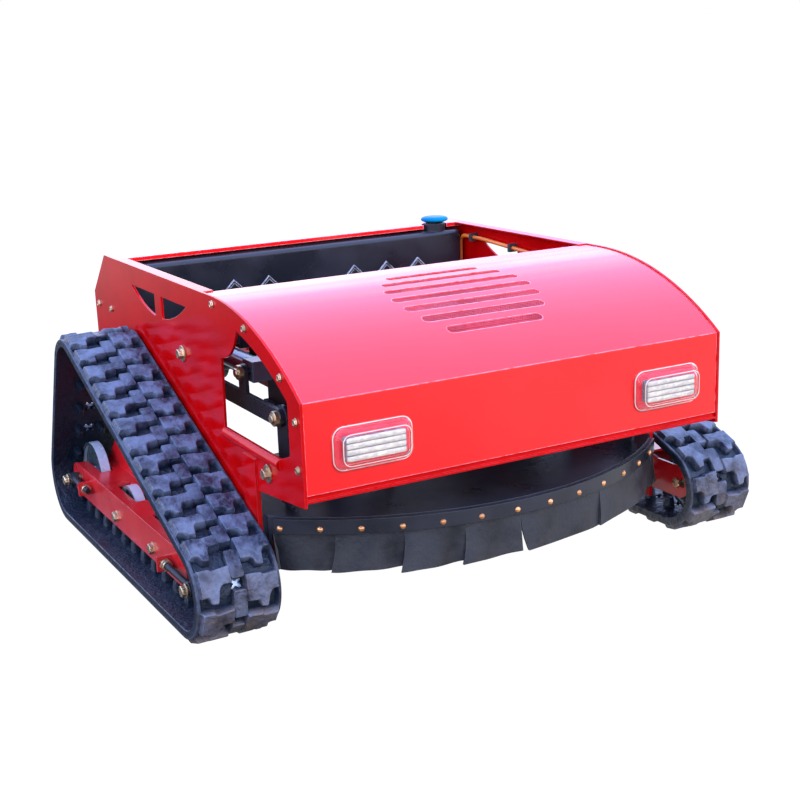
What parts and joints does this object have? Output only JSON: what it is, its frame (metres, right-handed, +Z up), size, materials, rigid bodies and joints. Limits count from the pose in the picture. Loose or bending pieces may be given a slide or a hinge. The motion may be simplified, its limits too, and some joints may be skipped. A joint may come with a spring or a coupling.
{
  "type": "tracked remote-controlled mower",
  "caption": "Low tracked slope mower with a curved hood, lamps, triangular rubber tracks, a height-adjustable D-shaped front cutting deck and a rear engine bay.",
  "frame": {"origin": "middle of the footprint of the overall bounding box, on the ground", "axes": "+X to the right seen from the front, +Y from the front panel to the rear, +Z up"},
  "size_m": [1.169, 1.086, 0.575],
  "materials": {
    "red_paint": "gloss powder coat",
    "black_paint": "satin powder coat",
    "mesh_red": "satin powder coat",
    "track_rubber": "matte",
    "galvanised": "satin zinc",
    "fastener_steel": "zinc plated",
    "blade_steel": "ground",
    "black_plastic": "matte",
    "blue_plastic": "gloss",
    "clear_lens": "clear",
    "lamp_white": "satin white",
    "cast_alloy": "cast",
    "dark_metal": "heat-proof black",
    "ram_chrome": "polished",
    "orange_jacket": "satin"
  },
  "bodies": {
    "chassis": {"left_side_plate": "red_paint", "right_side_plate": "red_paint", "hood": "red_paint", "hood_mesh": "mesh_red", "front_beam": "red_paint", "rear_panel": "red_paint", "chassis_rails": "red_paint", "rear_beam": "red_paint", "tank_shelf": "black_paint", "battery_tray": "black_paint", "battery_pack": "black_plastic", "controller": "cast_alloy", "body_bolts": "fastener_steel", "left_lamp_lens": "clear_lens", "right_lamp_lens": "clear_lens", "left_lamp_reflector": "lamp_white", "right_lamp_reflector": "lamp_white", "left_track_belt": "track_rubber", "right_track_belt": "track_rubber", "left_gear_motor": "black_paint", "right_gear_motor": "black_paint", "left_track_frame": "red_paint", "right_track_frame": "red_paint", "track_tensioners": "fastener_steel", "wheel_axles": "fastener_steel", "engine": "cast_alloy", "engine_shroud": "dark_metal", "muffler": "dark_metal", "fuel_tank": "black_plastic", "guard": "black_paint", "orange_cable": "orange_jacket", "cable_clips": "black_plastic"},
    "deck": {"deck_shell": "black_paint", "deck_band": "black_paint", "deck_flaps": "track_rubber", "deck_bolts": "fastener_steel", "left_spindle_motor": "cast_alloy", "right_spindle_motor": "cast_alloy"},
    "lift_frame": {"lift_frame": "black_paint"},
    "left_hanger": {"left_hanger_link": "black_paint"},
    "right_hanger": {"right_hanger_link": "black_paint"},
    "actuator_body": {"actuator_body": "cast_alloy"},
    "actuator_ram": {"actuator_ram": "ram_chrome"},
    "filler_cap": {"filler_cap": "blue_plastic"},
    "left_rotor": {"left_blade_rotor": "blade_steel"},
    "left_knife_a": {"left_knife_a": "blade_steel"},
    "left_knife_b": {"left_knife_b": "blade_steel"},
    "left_sprocket": {"left_drive_sprocket": "galvanised"},
    "left_front_idler": {"left_front_idler": "galvanised"},
    "left_rear_idler": {"left_rear_idler": "galvanised"},
    "left_front_road_wheel": {"left_front_road_wheel": "galvanised"},
    "left_rear_road_wheel": {"left_rear_road_wheel": "galvanised"},
    "right_rotor": {"right_blade_rotor": "blade_steel"},
    "right_knife_a": {"right_knife_a": "blade_steel"},
    "right_knife_b": {"right_knife_b": "blade_steel"},
    "right_sprocket": {"right_drive_sprocket": "galvanised"},
    "right_front_idler": {"right_front_idler": "galvanised"},
    "right_rear_idler": {"right_rear_idler": "galvanised"},
    "right_front_road_wheel": {"right_front_road_wheel": "galvanised"},
    "right_rear_road_wheel": {"right_rear_road_wheel": "galvanised"}
  },
  "joints": [
    {"name": "deck_lift", "type": "slide", "parent": "chassis", "child": "deck", "axis": [0, 0, 1], "range_m": [-0.08, 0.02]},
    {"name": "lift_swing", "type": "hinge", "parent": "chassis", "child": "lift_frame", "pos_m": [0, 0.189, 0.345], "axis": [1, 0, 0], "range_deg": [-3, 10]},
    {"name": "left_hanger_pivot", "type": "hinge", "parent": "lift_frame", "child": "left_hanger", "pos_m": [-0.3727, -0.328, 0.361], "axis": [1, 0, 0], "range_deg": [-10, 3]},
    {"name": "right_hanger_pivot", "type": "hinge", "parent": "lift_frame", "child": "right_hanger", "pos_m": [0.3727, -0.328, 0.361], "axis": [1, 0, 0], "range_deg": [-10, 3]},
    {"name": "actuator_pivot", "type": "hinge", "parent": "lift_frame", "child": "actuator_body", "pos_m": [-0.35, -0.178, 0.413], "axis": [1, 0, 0], "range_deg": [-1, 2]},
    {"name": "ram_stroke", "type": "slide", "parent": "actuator_body", "child": "actuator_ram", "axis": [0, 1, 0], "range_m": [-0.004, 0.013]},
    {"name": "left_rotor_spin", "type": "hinge", "parent": "deck", "child": "left_rotor", "pos_m": [-0.205, -0.261, 0.128], "axis": [0, 0, 1], "continuous": true},
    {"name": "left_knife_a_swing", "type": "hinge", "parent": "left_rotor", "child": "left_knife_a", "pos_m": [-0.13429, -0.19029, 0.125], "axis": [0, 0, 1], "range_deg": [-110, 110]},
    {"name": "left_knife_b_swing", "type": "hinge", "parent": "left_rotor", "child": "left_knife_b", "pos_m": [-0.27571, -0.33171, 0.125], "axis": [0, 0, 1], "range_deg": [-110, 110]},
    {"name": "left_sprocket_spin", "type": "hinge", "parent": "chassis", "child": "left_sprocket", "pos_m": [-0.509, 0.269, 0.345], "axis": [1, 0, 0], "continuous": true},
    {"name": "left_front_idler_spin", "type": "hinge", "parent": "chassis", "child": "left_front_idler", "pos_m": [-0.509, -0.336, 0.092], "axis": [1, 0, 0], "continuous": true},
    {"name": "left_rear_idler_spin", "type": "hinge", "parent": "chassis", "child": "left_rear_idler", "pos_m": [-0.509, 0.374, 0.098], "axis": [1, 0, 0], "continuous": true},
    {"name": "left_front_road_wheel_spin", "type": "hinge", "parent": "chassis", "child": "left_front_road_wheel", "pos_m": [-0.509, -0.0875, 0.083], "axis": [1, 0, 0], "continuous": true},
    {"name": "left_rear_road_wheel_spin", "type": "hinge", "parent": "chassis", "child": "left_rear_road_wheel", "pos_m": [-0.509, 0.12692, 0.083], "axis": [1, 0, 0], "continuous": true},
    {"name": "right_rotor_spin", "type": "hinge", "parent": "deck", "child": "right_rotor", "pos_m": [0.205, -0.261, 0.128], "axis": [0, 0, 1], "continuous": true},
    {"name": "right_knife_a_swing", "type": "hinge", "parent": "right_rotor", "child": "right_knife_a", "pos_m": [0.13429, -0.19029, 0.125], "axis": [0, 0, 1], "range_deg": [-110, 110]},
    {"name": "right_knife_b_swing", "type": "hinge", "parent": "right_rotor", "child": "right_knife_b", "pos_m": [0.27571, -0.33171, 0.125], "axis": [0, 0, 1], "range_deg": [-110, 110]},
    {"name": "right_sprocket_spin", "type": "hinge", "parent": "chassis", "child": "right_sprocket", "pos_m": [0.509, 0.269, 0.345], "axis": [1, 0, 0], "continuous": true},
    {"name": "right_front_idler_spin", "type": "hinge", "parent": "chassis", "child": "right_front_idler", "pos_m": [0.509, -0.366, 0.092], "axis": [1, 0, 0], "continuous": true},
    {"name": "right_rear_idler_spin", "type": "hinge", "parent": "chassis", "child": "right_rear_idler", "pos_m": [0.509, 0.344, 0.098], "axis": [1, 0, 0], "continuous": true},
    {"name": "right_front_road_wheel_spin", "type": "hinge", "parent": "chassis", "child": "right_front_road_wheel", "pos_m": [0.509, -0.0875, 0.083], "axis": [1, 0, 0], "continuous": true},
    {"name": "right_rear_road_wheel_spin", "type": "hinge", "parent": "chassis", "child": "right_rear_road_wheel", "pos_m": [0.509, 0.12692, 0.083], "axis": [1, 0, 0], "continuous": true},
    {"name": "cap_turn", "type": "hinge", "parent": "chassis", "child": "filler_cap", "pos_m": [0.349, 0.373, 0.566], "axis": [0, 0, 1], "range_deg": [0, 360]}
  ],
  "couplings": [
    {"joint": "lift_swing", "follows": "deck_lift", "rad_per_m": -1.9342},
    {"joint": "left_hanger_pivot", "follows": "deck_lift", "rad_per_m": 1.9342},
    {"joint": "right_hanger_pivot", "follows": "deck_lift", "rad_per_m": 1.9342},
    {"joint": "actuator_pivot", "follows": "deck_lift", "rad_per_m": -0.1338},
    {"joint": "ram_stroke", "follows": "deck_lift", "ratio": -0.1344},
    {"joint": "left_front_idler_spin", "follows": "left_sprocket_spin", "ratio": 0.93056},
    {"joint": "left_rear_idler_spin", "follows": "left_sprocket_spin", "ratio": 0.85897},
    {"joint": "left_front_road_wheel_spin", "follows": "left_sprocket_spin", "ratio": 1.1754},
    {"joint": "left_rear_road_wheel_spin", "follows": "left_sprocket_spin", "ratio": 1.1754},
    {"joint": "right_front_idler_spin", "follows": "right_sprocket_spin", "ratio": 0.93056},
    {"joint": "right_rear_idler_spin", "follows": "right_sprocket_spin", "ratio": 0.85897},
    {"joint": "right_front_road_wheel_spin", "follows": "right_sprocket_spin", "ratio": 1.1754},
    {"joint": "right_rear_road_wheel_spin", "follows": "right_sprocket_spin", "ratio": 1.1754}
  ]
}
